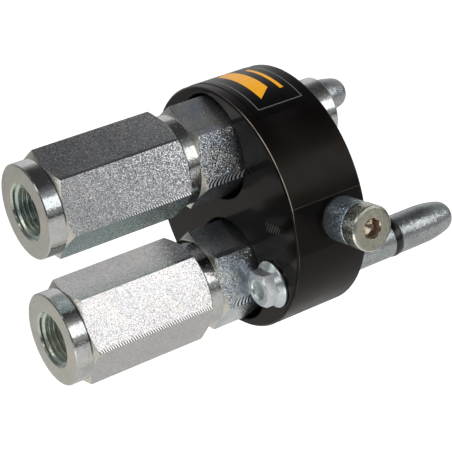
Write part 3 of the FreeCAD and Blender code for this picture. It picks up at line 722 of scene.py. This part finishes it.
# Nickel-plated screw head: warm, with a banded turned side, a bright rim and a darker socket
NICKEL_FACE = PlatedSteel("#bcb9aa", "#aeada0", 0.28, 0.35, 0.08, 0.45, Marks.FACED_Y, 0.2, 0.002, 0.6, rim=7.1)
NICKEL_SIDE = PlatedSteel("#d2d2c6", "#c0c2b6", 0.24, 0.4, 0.08, 0.4, Marks.TURNED_Y, 0.35, 0.006, 0.6, 0.004)
NICKEL_RIM = PlatedSteel("#efeee6", "#e6e6dc", 0.2, 0.5, 0.03, 0.1, Marks.TURNED_Y, 0.35, 0.002, 0.6)
NICKEL_SOCKET = PlatedSteel("#c9bba9", "#a3937f", 0.18, 0.6, 0.05, 0.2, Marks.NONE, rounding=0.1, metallic=0.85)
# Stamped washers under zinc: pale grey, with hardly any sparkle
STAMPED_ZINC = PlatedSteel("#b9bfc2", "#a8b0b2", 0.26, 0.6, 0.03, 0.1, Marks.FACED_Y, 0.25, 0.002, 0.15)
# Phosphated and oiled spring steel: dark and dull
PHOSPHATED = PlatedSteel("#2b2b2c", "#3b3a38", 0.42, 0.5, 0.05, 0.2, Marks.NONE, rounding=0.12)
# Ground stainless steel of the valves: bright and even, with fine rings
GROUND_STAINLESS = PlatedSteel("#cbc8c2", "#c2c0bb", 0.16, 0.6, 0.01, 0.04, Marks.FACED_X, 0.2, 0.003, 0.15)
# Drawn spring wire: plain grey steel
SPRING_WIRE = PlatedSteel("#a9a8a4", "#989793", 0.22, 0.5, 0.01, 0.08, Marks.NONE, rounding=0.2)
RUBBER = NitrileRubber()


@dataclass(frozen=True)
class Facet:
    """One face of a node, seen from the axis that its part is turned about.

    Args:
        place: Its middle, in millimetres.
        along: Place of its middle along the axis.
        radius: Distance of its middle from the axis.
        lean: How far it faces along the axis, from -1 to 1.
        outward: How far it faces away from the axis, from -1 to 1.
    """

    place: Vector
    along: float
    radius: float
    lean: float
    outward: float


@dataclass(frozen=True)
class Zone:
    """Places of a node that share a finish.

    Args:
        material: The finish.
        holds: Tells whether a facet is one of them.
    """

    material: Material
    holds: Callable[[Facet], bool]


def dress(node: Piece, *materials: Material) -> None:
    """Give a piece materials in place of its own.

    Args:
        node: The piece.
        materials: The materials, of which the first goes all over it.
    """
    node.data.materials.clear()
    for material in materials:
        node.data.materials.append(material)
    for face in node.data.polygons:
        face.material_index = 0
    LOG.info("%s: %s", node.name, ", ".join(material.name for material in materials))


def dress_zones(node: Piece, centre: Vector, axis: Vector, rest: Material, *zones: Zone) -> None:
    """Give each facet of a node the finish of the first zone that holds it.

    Args:
        node: The node.
        centre: A point of its axis, in millimetres.
        axis: Direction of the axis.
        rest: Finish of every other facet.
        zones: The zones.
    """
    dress(node, rest, *(zone.material for zone in zones))
    for face in node.data.polygons:
        place = face.center / MM
        along = (place - centre).dot(axis)
        spoke = place - centre - along * axis
        facet = Facet(place, along, spoke.length, face.normal.dot(axis), face.normal.dot(spoke.normalized()))
        face.material_index = next((slot for slot, zone in enumerate(zones, 1) if zone.holds(facet)), 0)


def new_piece(name: str) -> Piece:
    """Name the object that the last primitive made.

    Args:
        name: Name of the object and of its mesh.

    Returns:
        The object.
    """
    piece = bpy.context.object
    piece.name = name
    piece.data.name = name
    return piece


def settle(piece: Piece, body: str, slot: str, *materials: Material) -> None:
    """Bring a finished piece to the origin with its place in its mesh, dress it and let it ride.

    Args:
        piece: The piece.
        body: Body that it moves with.
        slot: Not used.
        materials: Its finishes.
    """
    bpy.ops.object.select_all(action="DESELECT")
    piece.select_set(True)
    bpy.context.view_layer.objects.active = piece
    bpy.ops.object.transform_apply(location=True, rotation=True, scale=True)
    dress(piece, *materials)
    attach(piece, body)


def wind(section: Piece, centre: Vector, turns: float, pitch: float, steps: int) -> None:
    """Wind a flat closed section about X, and close both ends of the coil.

    Args:
        section: The section, which becomes the coil.
        centre: A point of the axis, in millimetres.
        turns: Number of turns.
        pitch: Distance from one turn to the next.
        steps: Number of steps in each turn.
    """
    axis = bpy.data.objects.new(f"{section.name}_axis", None)
    bpy.context.scene.collection.objects.link(axis)
    axis.location = centre * MM
    coil = section.modifiers.new("wind", "SCREW")
    coil.object = axis
    coil.axis = "X"
    coil.angle = math.tau * turns
    coil.screw_offset = pitch * turns * MM
    coil.steps = round(steps * turns)
    coil.render_steps = coil.steps
    coil.use_normal_calculate = True
    bpy.ops.object.modifier_apply(modifier="wind")
    bpy.data.objects.remove(axis)
    bpy.ops.object.mode_set(mode="EDIT")
    bpy.ops.mesh.select_all(action="DESELECT")
    bpy.ops.mesh.select_non_manifold()
    bpy.ops.mesh.fill_holes(sides=0)
    bpy.ops.mesh.select_all(action="SELECT")
    bpy.ops.mesh.normals_make_consistent(inside=False)
    bpy.ops.object.mode_set(mode="OBJECT")
    bpy.ops.object.shade_smooth_by_angle(angle=math.radians(35))


@dataclass(frozen=True)
class Hexagon:
    """Spanner hexagon of a port body or a probe body.

    Args:
        body: Name of the body.
        label: Name of its flats' material.
        drawn: Their finish.
        ends: Where it starts and ends along X.
        corner: Distance from the axis beyond which the middles of its chamfers' facets lie.
        turn: Its turn about X, in degrees.
        chatter: Its cutter marks.
    """

    body: str
    label: str
    drawn: PlatedSteel
    ends: Pair
    corner: float
    turn: float
    chatter: Chatter

    def is_flat(self, facet: Facet) -> bool:
        """Tell whether a facet is part of a flat."""
        side = abs(facet.lean) < 0.05 and facet.outward > 0.5 and facet.radius > 17.2
        return side and self.ends[0] < facet.along < self.ends[1]

    def is_chamfer(self, facet: Facet) -> bool:
        """Tell whether a facet is part of a chamfer."""
        start, end = self.ends
        return abs(facet.lean) > 0.1 and facet.radius > self.corner and start - 0.5 < facet.along < end + 0.1


@dataclass(frozen=True)
class OilLine:
    """One oil line: port body, probe body and flat-face valve on one axis.

    Args:
        name: Upper or lower.
        height: Height of its axis.
        port: Hexagon of the port body, which reaches from its shoulder to the joint of the two bodies.
        probe: Hexagon of the probe body, which reaches from its neck to the floor of its recess.
        seam: Half the width of the dark joint.
        thread_pitch: Distance from one turn of the port's thread to the next.
        thread_crest: Radius of its crests.
        thread_root: Radius of its roots, just inside the wall.
        thread_start: Where it starts along X.
        thread_turns: Number of its turns.
        thread_steps: Number of steps in a turn.
        tooth_shares: Width of a tooth's root, as a share of the pitch, and of its crest, as a share of that.
        spring_ends: Where the valve's spring starts and ends along X.
        spring_radius: Radius of its coil.
        spring_wire: Width of its wire.
        spring_turns: Number of its turns.
        spring_steps: Number of steps in a turn.
        valve_travel: How far the valve slides; not used.
    """

    name: str
    height: float
    port: Hexagon
    probe: Hexagon
    seam: float = 0.12
    thread_pitch: float = 1.814
    thread_crest: float = 9.32
    thread_root: float = 10.52
    thread_start: float = -112.6
    thread_turns: int = 9
    thread_steps: int = 56
    tooth_shares: Pair = (0.9, 0.25)
    spring_ends: Pair = (-36.95, 11.5)
    spring_radius: float = 6.5
    spring_wire: float = 1.6
    spring_turns: float = 5.5
    spring_steps: int = 32
    valve_travel: float = 8.0

    @property
    def centre(self) -> Vector:
        """A point of the line's axis."""
        return Vector((0, 0, self.height))

    def dress_bodies(self, nodes: Nodes) -> None:
        """Dress the port body and the probe body, place by place.

        Args:
            nodes: The CAD nodes by their names.
        """
        shoulder, joint = self.port.ends
        joint_seam = (joint - self.seam, joint + self.seam, self.height - 25.0)
        # The dark line round the shoulder shows on its upper side, and fades out from 1 to 5 mm below the axis
        seams = ((shoulder - 0.3, shoulder + 0.1, self.height - 1.0), joint_seam)
        turned = TURNED_ZINC.build(f"turned_zinc_{self.name}", seams=seams)
        faced = FACED_ZINC.build(f"faced_zinc_{self.name}", Place(z=self.height))
        chamfer = HEX_CHAMFER.build(f"chamfer_zinc_{self.name}", seams=seams)
        bored = BORED_ZINC.build(f"bored_zinc_{self.name}")
        for hexagon in (self.port, self.probe):
            place = Place(z=self.height, turn=-hexagon.turn)
            drawn = hexagon.drawn.build(f"{hexagon.label}_{self.name}", place, hexagon.chatter.corner,
                                        hexagon.chatter, (joint_seam,))
            dress_zones(
                nodes[f"{hexagon.body}_{self.name}"], self.centre, Vector((1, 0, 0)), turned,
                Zone(bored, lambda facet: facet.outward < -0.2),
                Zone(faced, lambda facet: abs(facet.lean) > 0.9),
                Zone(drawn, hexagon.is_flat),
                Zone(chamfer, hexagon.is_chamfer),
            )

    def dress_valve(self, nodes: Nodes) -> None:
        """Dress the valve and the line's seal rings.

        Args:
            nodes: The CAD nodes by their names.
        """
        steel = GROUND_STAINLESS.build(f"ground_stainless_{self.name}", Place(z=self.height))
        rubber = RUBBER.build(f"nitrile_{self.name}")
        dress(nodes[f"valve_poppet_{self.name}"], steel)
        dress(nodes[f"valve_guide_{self.name}"], steel)
        for seal in ("poppet_seal", "joint_seal", "shank_seal"):
            dress(nodes[f"{seal}_{self.name}"], rubber)

    def cut_thread(self) -> None:
        """Wind the port's thread from one tooth, which tapers from its root to its crest."""
        bpy.ops.object.select_all(action="DESELECT")
        root_share, crest_share = self.tooth_shares
        middle = (self.thread_crest + self.thread_root) / 2
        depth = self.thread_root - self.thread_crest
        place = Vector((self.thread_start, 0, self.height + middle)) * MM
        bpy.ops.mesh.primitive_plane_add(size=1.0, location=place, rotation=(math.radians(90), 0, 0))
        tooth = new_piece(f"port_thread_{self.name}")
        tooth.scale = (self.thread_pitch * root_share * MM, depth * MM, 1.0)
        bpy.ops.object.transform_apply(location=False, rotation=True, scale=True)
        bpy.ops.object.mode_set(mode="EDIT")
        bpy.ops.mesh.select_all(action="DESELECT")
        bpy.ops.mesh.select_mode(type="VERT")
        bpy.ops.object.mode_set(mode="OBJECT")
        for corner in tooth.data.vertices:
            corner.select = corner.co.z < 0
        bpy.ops.object.mode_set(mode="EDIT")
        bpy.ops.transform.resize(value=(crest_share, 1, 1))
        bpy.ops.object.mode_set(mode="OBJECT")
        wind(tooth, self.centre, self.thread_turns, self.thread_pitch, self.thread_steps)
        settle(tooth, HOUSING, "zinc_bodies", TAPPED_ZINC.build(f"tapped_zinc_{self.name}"))

    def wind_spring(self) -> None:
        """Wind the valve's spring from round wire in place of the solid one."""
        bpy.ops.object.select_all(action="DESELECT")
        start, end = self.spring_ends
        half = self.spring_wire / 2
        place = Vector((start + half, 0, self.height + self.spring_radius)) * MM
        bpy.ops.mesh.primitive_circle_add(vertices=14, radius=half * MM, location=place,
                                          rotation=(math.radians(90), 0, 0))
        spring = new_piece(f"valve_coil_{self.name}")
        bpy.ops.object.transform_apply(location=False, rotation=True, scale=True)
        pitch = (end - start - self.spring_wire) / self.spring_turns
        wind(spring, self.centre, self.spring_turns, pitch, self.spring_steps)
        settle(spring, HOUSING, "spring_steel", SPRING_WIRE.build(f"spring_wire_{self.name}"))
        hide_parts(f"valve_spring_{self.name}")
        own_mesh(spring)


class Block:
    """The round block, with its label and the clips in its mating face."""

    def dress(self, nodes: Nodes) -> None:
        """Dress the block, its label and the clips.

        Args:
            nodes: The CAD nodes by their names.
        """
        finish = AnodisedAluminium()
        dress_zones(
            nodes["coupling_block"], Vector((0, 0, 0)), Vector((1, 0, 0)),
            finish.build("anodised_turned", Marks.TURNED_X, 0.30, 0.13),
            Zone(finish.build("anodised_faced", Marks.FACED_X, 0.13, 0.15),
                 lambda facet: abs(facet.lean) > 0.9),
        )
        dress(nodes["identification_label"], PrintedFilm().build("printed_film"))
        dress(nodes["retaining_clips"], PHOSPHATED.build("phosphated_clip"))


@dataclass(frozen=True)
class GuidePins:
    """Guide pins with their seal rings, and the flange bolts that hold them.

    Args:
        bolt_hex_end: Where the bolts' hexagons end along X.
        dish_radius: Radius of the dish in each bolt's head.
        places: Where the axes of the lower and the upper one lie along Y and Z.
    """

    bolt_hex_end: float = -34.0
    dish_radius: float = 4.3
    places: tuple[Pair, ...] = ((-28.27, -24.49), (32.50, 18.50))

    def dress(self, nodes: Nodes) -> None:
        """Dress the pins, rings and bolts.

        Args:
            nodes: The CAD nodes by their names.
        """
        zinc = PIN_ZINC.build("pin_zinc")
        rubber = RUBBER.build("nitrile_pin_ring", 1.0)
        for place in ("upper", "lower"):
            dress(nodes[f"guide_pin_{place}"], zinc)
            dress(nodes[f"guide_pin_seal_{place}"], rubber)
        forged = Zone(FORGED_ZINC.build("forged_zinc"),
                      lambda facet: abs(facet.lean) < 0.05 and facet.along < self.bolt_hex_end)
        dishes = [self.dish(side, y, z) for side, (y, z) in zip(("lower", "upper"), self.places)]
        dress_zones(nodes["flange_bolts"], Vector((0, 0, 0)), Vector((1, 0, 0)), BLUE_ZINC.build("blue_zinc"),
                    forged, *dishes)

    def dish(self, side: str, y: float, z: float) -> Zone:
        """The dish in one bolt's head.

        Args:
            side: Lower or upper.
            y: Where the bolt's axis lies along Y.
            z: Where it lies along Z.

        Returns:
            The zone.
        """
        dished = DISHED_ZINC.build(f"dished_zinc_{side}", Place(y=y, z=z))
        return Zone(dished, lambda facet: facet.lean < -0.9 and facet.along < self.bolt_hex_end
                    and math.hypot(facet.place.y - y, facet.place.z - z) < self.dish_radius)


@dataclass(frozen=True)
class CamRollers:
    """Cam rollers on their shoulder screws.

    Args:
        setback: Distance of their axis behind the mating face.
        socket_radius: Radius inside which the socket lies.
    """

    setback: float = 11.9
    socket_radius: float = 4.3

    def dress(self, nodes: Nodes) -> None:
        """Dress the rollers, screws and washers.

        Args:
            nodes: The CAD nodes by their names.
        """
        place = Place(x=-self.setback)
        roller = ROLLER_ZINC.build("roller_zinc", place)
        face = NICKEL_FACE.build("nickel_face", place)
        for side in ("left", "right"):
            dress(nodes[f"cam_roller_{side}"], roller)
        centre = Vector((-self.setback, 0, 0))
        dress_zones(
            nodes["roller_screws"], centre, Vector((0, 1, 0)), NICKEL_SIDE.build("nickel_side", place),
            Zone(NICKEL_SOCKET.build("nickel_socket", place),
                 lambda facet: facet.radius < self.socket_radius and facet.outward < 0.2),
            Zone(face, lambda facet: abs(facet.lean) > 0.9),
            Zone(NICKEL_RIM.build("nickel_rim", place), lambda facet: abs(facet.lean) > 0.4),
        )
        dress(nodes["roller_washers"], STAMPED_ZINC.build("stamped_zinc", place))


@dataclass(frozen=True)
class SoftBox:
    """A rectangular studio lamp.

    Args:
        name: Its name.
        towards: Direction from the part to the lamp.
        distance: Distance from the part, in metres.
        width: Width, in metres.
        height: Height, in metres.
        level: Radiance of its face.
        mirrored: Whether metal mirrors it.
    """

    name: str
    towards: Triple
    distance: float
    width: float
    height: float
    level: float
    mirrored: bool = True

    def hang(self, target: Vector) -> None:
        """Hang the lamp.

        Args:
            target: What it faces, in metres.
        """
        direction = Vector(self.towards).normalized()
        turn = (-direction).to_track_quat("-Z", "Y").to_euler()
        bpy.ops.object.light_add(type="AREA", location=target + direction * self.distance, rotation=turn)
        lamp = bpy.context.object
        lamp.name = self.name
        lamp.visible_camera = False
        lamp.visible_glossy = self.mirrored
        lamp.data.shape = "RECTANGLE"
        lamp.data.size = self.width
        lamp.data.size_y = self.height
        lamp.data.energy = self.level * math.pi * self.width * self.height


# Each lamp gives its direction, its distance, width and height, and its level
LAMPS = (
    SoftBox("front_softbox", (0.42, -0.83, 0.37), 0.9, 1.3, 0.40, 1.25),
    SoftBox("left_softbox", (-0.70, -0.38, 0.60), 0.9, 0.80, 0.26, 1.2),
    SoftBox("side_softbox", (-0.98, 0.14, 0.13), 0.9, 0.75, 0.16, 1.3),
    SoftBox("low_card", (-0.60, -0.66, -0.45), 0.42, 0.36, 0.14, 1.0),
    SoftBox("rear_softbox", (-0.475, 0.253, 0.843), 0.9, 0.40, 0.40, 1.3),
    SoftBox("overhead_fill", (0.05, -0.1, 1.0), 1.2, 1.6, 1.6, 1.25, mirrored=False),
)


@dataclass(frozen=True)
class Studio:
    """Camera, pale floor, surroundings and lamps.

    Args:
        target: What the lamps face, in metres.
        floor_height: Height of the floor, in metres.
        floor_size: Length of its sides.
        floor_shift: How far its middle lies behind the part.
        camera_lift: Light that the floor adds for the eye, so that it shows white.
        glossy_lift: The same for what metal reflects.
        bands: Level of the surroundings at some heights, from -1 below to 1 overhead.
        back_level: How many times brighter they are behind the part.
        side_level: How many times brighter they are at its port side.
        eye: Place of the camera.
        turn: Its turn about X, Y and Z, in degrees.
        lens: Focal length in millimetres on a 36 mm sensor.
    """

    target: Vector
    floor_height: float = -0.25
    floor_size: float = 3.6
    floor_shift: float = 0.6
    camera_lift: float = 0.8
    glossy_lift: float = 0.06
    bands: tuple[Pair, ...] = (
        (-0.12, 0.10), (-0.05, 0.30), (0.10, 0.38), (0.30, 0.44), (0.62, 0.44), (0.72, 0.18), (0.83, 0.06),
        (0.96, 0.05),
    )
    back_level: float = 1.65
    side_level: float = 0.25
    eye: Triple = (-0.32955, -0.50621, 0.20811)
    turn: Triple = (69.5889, 8.8316, -33.6968)
    lens: float = 128.21

    def place_camera(self) -> None:
        """Set up the camera."""
        bpy.ops.object.camera_add(location=self.eye, rotation=[math.radians(angle) for angle in self.turn])
        camera = bpy.context.object
        camera.data.lens = self.lens
        camera.data.sensor_width = 36.0
        camera.data.clip_start = 0.01
        bpy.context.scene.camera = camera

    def lay_floor(self) -> None:
        """Lay the floor, which shows white with the object's shadow on it, to the eye and in metal."""
        place = (self.target.x, self.target.y + self.floor_shift, self.floor_height)
        bpy.ops.mesh.primitive_plane_add(size=self.floor_size, location=place)
        floor = new_piece("studio_floor")
        material = bpy.data.materials.new("pale_floor")
        material.use_nodes = True
        tree = material.node_tree
        shader = tree.nodes["Principled BSDF"]
        connect(tree, shader.inputs["Base Color"], "#e9e8e5")
        shader.inputs["Roughness"].default_value = 0.9
        path = add_node(tree, "LightPath")
        lift = add_node(tree, "Math", {
            0: path.outputs["Is Camera Ray"], 1: self.camera_lift,
            2: add_node(tree, "Math", {
                0: path.outputs["Is Glossy Ray"], 1: self.glossy_lift,
            }, operation="MULTIPLY"),
        }, operation="MULTIPLY_ADD")
        glow = add_node(tree, "Emission", {"Color": "#ffffff", "Strength": lift})
        both = add_node(tree, "AddShader", {0: shader.outputs[0], 1: glow})
        connect(tree, tree.nodes["Material Output"].inputs["Surface"], both)
        floor.data.materials.append(material)
        floor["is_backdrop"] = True

    def surround(self) -> None:
        """Surround the scene: white to the eye, else dim at the horizon, pale above it and dark overhead."""
        world = bpy.data.worlds.new("surroundings")
        world.use_nodes = True
        tree = world.node_tree
        direction = add_node(tree, "TexCoord").outputs["Generated"]
        parts = add_node(tree, "SeparateXYZ", {0: direction})
        share = add_node(tree, "Math", {0: parts.outputs["Z"], 1: 0.5, 2: 0.5}, operation="MULTIPLY_ADD")
        level = add_node(tree, "ValToRGB", {0: share})
        bands = level.color_ramp.elements
        bands.remove(bands[1])
        for band_height, strength in self.bands:
            band = bands.new((band_height + 1) / 2)
            band.color = (strength, strength, strength, 1)
        bands.remove(bands[0])
        behind = add_node(tree, "MapRange", {
            0: parts.outputs["Y"], 1: 0.35, 2: 0.75, 3: 1.0, 4: self.back_level,
        })
        beside = add_node(tree, "MapRange", {
            0: parts.outputs["X"], 1: -0.5, 2: 0.1, 3: self.side_level, 4: 1.0,
        })
        factor = add_node(tree, "Math", {0: behind, 1: beside}, operation="MULTIPLY")
        lit = add_node(tree, "VectorMath", {0: level, 1: factor}, operation="SCALE")
        path = add_node(tree, "LightPath")
        seen = add_node(tree, "Math", {
            0: path.outputs["Is Camera Ray"], 1: path.outputs["Is Transmission Ray"],
        }, operation="MAXIMUM")
        colour = add_node(tree, "Mix", {0: seen, 1: lit, 2: (1, 1, 1, 1)}, data_type="RGBA")
        connect(tree, tree.nodes["Background"].inputs["Color"], colour)
        bpy.context.scene.world = world

    def build(self) -> None:
        """Set up the whole studio."""
        self.place_camera()
        self.lay_floor()
        self.surround()
        for lamp in LAMPS:
            lamp.hang(self.target)
        bpy.context.scene.view_settings.view_transform = "Standard"


# Where the hexagons of the bodies start and end along X
PORT_ENDS = (-106.7, -54.1)
PROBE_ENDS = (-49.1, -24.4)
# The cutter marks are drawn coarser than the real ones of 0.6 to 1.5 mm, so that they show. Each row gives its
# corner, pitch, length, slant, shade, start, lift and dullness
UPPER_LINE = OilLine(
    "upper", 25.3,
    Hexagon("port_body", "drawn_zinc", GREEN_FLAT, PORT_ENDS, 17.8, 7.6,
            Chatter(10.39, 1.05, 1.2, 0.3, 0.6, -92.0, 0.10)),
    Hexagon("probe_body", "coarse_zinc", COARSE_FLAT, PROBE_ENDS, 17.3, 4.9,
            Chatter(10.10, 1.7, 3.2, -0.9, 0.97, -60.0, 0.12, 0.35)),
)
LOWER_LINE = OilLine(
    "lower", -25.3,
    Hexagon("port_body", "drawn_zinc", DRAWN_FLAT, PORT_ENDS, 17.8, 21.4,
            Chatter(10.39, 1.05, 1.5, 0.3, 0.92, -113.0)),
    Hexagon("probe_body", "coarse_zinc", COARSE_FLAT, PROBE_ENDS, 17.3, 10.3,
            Chatter(10.10, 1.7, 3.0, -0.8, 0.97, -49.0, -0.3)),
)


def main() -> None:
    """Build the looks in order, and centre the studio on the imported solids."""
    logging.basicConfig(level=logging.INFO, format="%(name)s: %(message)s")
    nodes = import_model()["nodes"]
    solid_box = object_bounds()
    for line in (UPPER_LINE, LOWER_LINE):
        line.dress_bodies(nodes)
        line.dress_valve(nodes)
        line.cut_thread()
        line.wind_spring()
    Block().dress(nodes)
    GuidePins().dress(nodes)
    CamRollers().dress(nodes)
    low, high = solid_box
    Studio((Vector(low) + Vector(high)) / 2).build()


if __name__ == "__main__":
    main()
